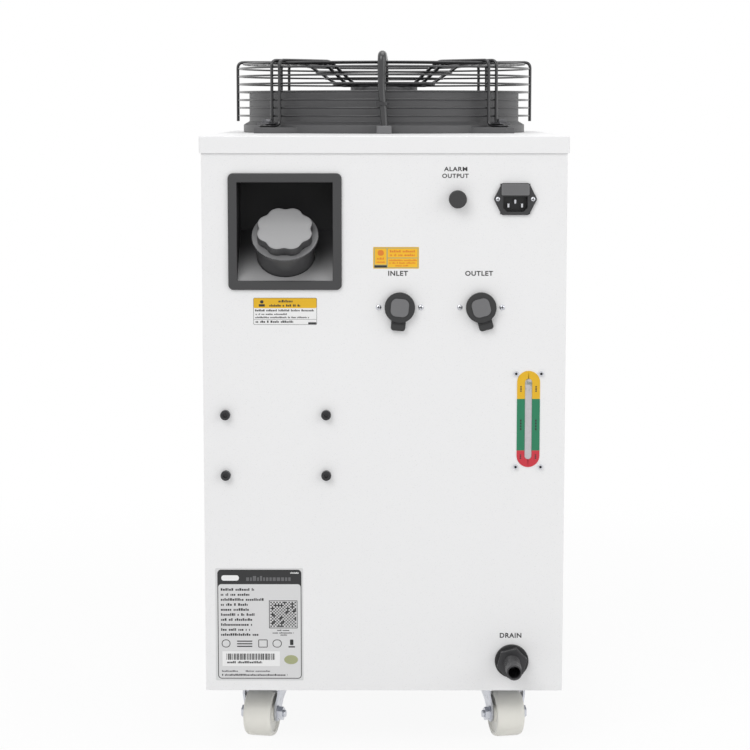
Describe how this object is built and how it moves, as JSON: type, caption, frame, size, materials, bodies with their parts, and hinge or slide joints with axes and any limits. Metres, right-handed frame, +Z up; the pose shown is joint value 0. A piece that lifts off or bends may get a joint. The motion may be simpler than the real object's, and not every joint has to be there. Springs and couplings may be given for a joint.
{
  "type": "recirculating chiller",
  "caption": "Upright recirculating chiller on castors: white steel cabinet with a guarded roof fan, slanted filler, water ports, level gauge, power inlet and drain.",
  "frame": {"origin": "on the floor at the middle of the whole object's box", "axes": "+Z up, -Y out of the service side with filler, ports and gauge, +X to the right seen from that side"},
  "size_m": [0.38, 0.6436, 0.74],
  "materials": {
    "white_steel": "fine powder coat, satin",
    "pan_steel": "galvanised grey, satin",
    "fan_paint": "dark grey paint, satin",
    "wire_black": "black dipped wire, half gloss",
    "motor_black": "black paint, matte",
    "bezel_plastic": "dark grey moulded plastic",
    "neck_plastic": "dark moulded plastic",
    "cap_plastic": "grey moulded plastic",
    "black_plastic": "black moulded plastic",
    "black_rubber": "black rubber",
    "pin_metal": "plated pins",
    "scale_label": "printed film in plain colour fields",
    "clear_plastic": "clear moulded plastic",
    "black_screw": "black oxide",
    "zinc_steel": "bright zinc plating",
    "wheel_nylon": "cream nylon",
    "grommet_grey": "grey moulded plastic",
    "key_grey": "grey keys",
    "tank_plastic": "milky plastic",
    "copper": "drawn copper",
    "fin_aluminium": "finned block",
    "blade_black": "black paint, satin"
  },
  "bodies": {
    "root": {"base_pan": "pan_steel", "service_panel": "white_steel", "control_panel": "white_steel", "side_panel_left": "white_steel", "side_panel_right": "white_steel", "top_lid": "white_steel", "filler_recess": "bezel_plastic", "filler_neck": "neck_plastic", "drain_spout": "black_plastic", "drain_washer": "black_rubber", "drain_nut": "black_plastic", "alarm_socket": "black_plastic", "power_inlet": "black_plastic", "inlet_pins": "pin_metal", "level_scale": "scale_label", "level_glass": "clear_plastic", "bracket_screws": "black_screw", "fan_shroud": "fan_paint", "fan_motor": "motor_black", "fan_guard": "wire_black", "guard_wall": "wire_black", "guard_cone": "wire_black", "guard_clamps": "zinc_steel", "fan_cable": "black_rubber", "cable_tie": "black_plastic", "cable_grommet": "grommet_grey", "controller": "bezel_plastic", "rocker_frame": "black_plastic", "castor_plates": "zinc_steel", "tank_bracket": "pan_steel", "water_tank": "tank_plastic", "compressor": "motor_black", "condenser": "fin_aluminium", "plate_evaporator": "pin_metal", "circulation_pump": "motor_black", "filter_drier": "copper", "copper_pipes": "copper", "water_hoses": "black_rubber", "inlet_port": "black_plastic", "outlet_port": "black_plastic"},
    "fan_impeller": {"fan_impeller": "blade_black"},
    "cap_seal": {"cap_seal": "black_rubber"},
    "filler_cap": {"filler_cap": "cap_plastic"},
    "inlet_plug": {"inlet_plug": "black_plastic"},
    "outlet_plug": {"outlet_plug": "black_plastic"},
    "alarm_cap": {"alarm_cap": "black_rubber"},
    "fuse_drawer": {"fuse_drawer": "black_plastic"},
    "power_rocker": {"power_rocker": "black_plastic"},
    "control_key_1": {"control_key_1": "key_grey"},
    "control_key_2": {"control_key_2": "key_grey"},
    "control_key_3": {"control_key_3": "key_grey"},
    "control_key_4": {"control_key_4": "key_grey"},
    "castor_fork_front_left": {"castor_fork_front_left": "zinc_steel"},
    "castor_wheel_front_left": {"castor_wheel_front_left": "wheel_nylon"},
    "castor_fork_front_right": {"castor_fork_front_right": "zinc_steel"},
    "castor_wheel_front_right": {"castor_wheel_front_right": "wheel_nylon"},
    "castor_fork_rear_left": {"castor_fork_rear_left": "zinc_steel"},
    "castor_wheel_rear_left": {"castor_wheel_rear_left": "wheel_nylon"},
    "castor_fork_rear_right": {"castor_fork_rear_right": "zinc_steel"},
    "castor_wheel_rear_right": {"castor_wheel_rear_right": "wheel_nylon"}
  },
  "joints": [
    {"name": "fan_spin", "type": "hinge", "parent": "root", "child": "fan_impeller", "pos_m": [0, 0.1112, 0.6896], "axis": [0, 0, 1], "continuous": true},
    {"name": "cap_lift", "type": "slide", "parent": "root", "child": "cap_seal", "axis": [0, -0.7071, 0.7071], "range_m": [0, 0.0082]},
    {"name": "cap_turn", "type": "hinge", "parent": "cap_seal", "child": "filler_cap", "pos_m": [-0.1023, -0.2468, 0.5236], "axis": [0, -0.7071, 0.7071], "range_deg": [0, 720]},
    {"name": "inlet_plug_pull", "type": "slide", "parent": "root", "child": "inlet_plug", "axis": [0, -1, 0], "range_m": [0, 0.016]},
    {"name": "outlet_plug_pull", "type": "slide", "parent": "root", "child": "outlet_plug", "axis": [0, -1, 0], "range_m": [0, 0.016]},
    {"name": "alarm_cap_pull", "type": "slide", "parent": "root", "child": "alarm_cap", "axis": [0, -1, 0], "range_m": [0, 0.012]},
    {"name": "fuse_drawer_pull", "type": "slide", "parent": "root", "child": "fuse_drawer", "axis": [0, -1, 0], "range_m": [0, 0.022]},
    {"name": "power_rocker_tip", "type": "hinge", "parent": "root", "child": "power_rocker", "pos_m": [-0.128, 0.3112, 0.56], "axis": [1, 0, 0], "range_deg": [-16, 0]},
    {"name": "control_key_1_press", "type": "slide", "parent": "root", "child": "control_key_1", "axis": [0, -1, 0], "range_m": [0, 0.001], "stiffness_N_per_m": 400},
    {"name": "control_key_2_press", "type": "slide", "parent": "root", "child": "control_key_2", "axis": [0, -1, 0], "range_m": [0, 0.001], "stiffness_N_per_m": 400},
    {"name": "control_key_3_press", "type": "slide", "parent": "root", "child": "control_key_3", "axis": [0, -1, 0], "range_m": [0, 0.001], "stiffness_N_per_m": 400},
    {"name": "control_key_4_press", "type": "slide", "parent": "root", "child": "control_key_4", "axis": [0, -1, 0], "range_m": [0, 0.001], "stiffness_N_per_m": 400},
    {"name": "swivel_front_left", "type": "hinge", "parent": "root", "child": "castor_fork_front_left", "pos_m": [-0.1287, -0.2008, 0.06], "axis": [0, 0, 1], "continuous": true},
    {"name": "roll_front_left", "type": "hinge", "parent": "castor_fork_front_left", "child": "castor_wheel_front_left", "pos_m": [-0.13203, -0.21645, 0.025], "axis": [0.9781, -0.2079, 0], "continuous": true},
    {"name": "swivel_front_right", "type": "hinge", "parent": "root", "child": "castor_fork_front_right", "pos_m": [0.1287, -0.2008, 0.06], "axis": [0, 0, 1], "continuous": true},
    {"name": "roll_front_right", "type": "hinge", "parent": "castor_fork_front_right", "child": "castor_wheel_front_right", "pos_m": [0.13203, -0.21645, 0.025], "axis": [0.9781, 0.2079, 0], "continuous": true},
    {"name": "swivel_rear_left", "type": "hinge", "parent": "root", "child": "castor_fork_rear_left", "pos_m": [-0.1287, 0.2432, 0.06], "axis": [0, 0, 1], "continuous": true},
    {"name": "roll_rear_left", "type": "hinge", "parent": "castor_fork_rear_left", "child": "castor_wheel_rear_left", "pos_m": [-0.1262, 0.2274, 0.025], "axis": [0.9877, 0.1564, 0], "continuous": true},
    {"name": "swivel_rear_right", "type": "hinge", "parent": "root", "child": "castor_fork_rear_right", "pos_m": [0.1287, 0.2432, 0.06], "axis": [0, 0, 1], "continuous": true},
    {"name": "roll_rear_right", "type": "hinge", "parent": "castor_fork_rear_right", "child": "castor_wheel_rear_right", "pos_m": [0.12675, 0.22732, 0.025], "axis": [0.9925, -0.1219, 0], "continuous": true}
  ],
  "couplings": [
    {"joint": "cap_lift", "follows": "cap_turn", "m_per_rad": 0.00063662}
  ]
}
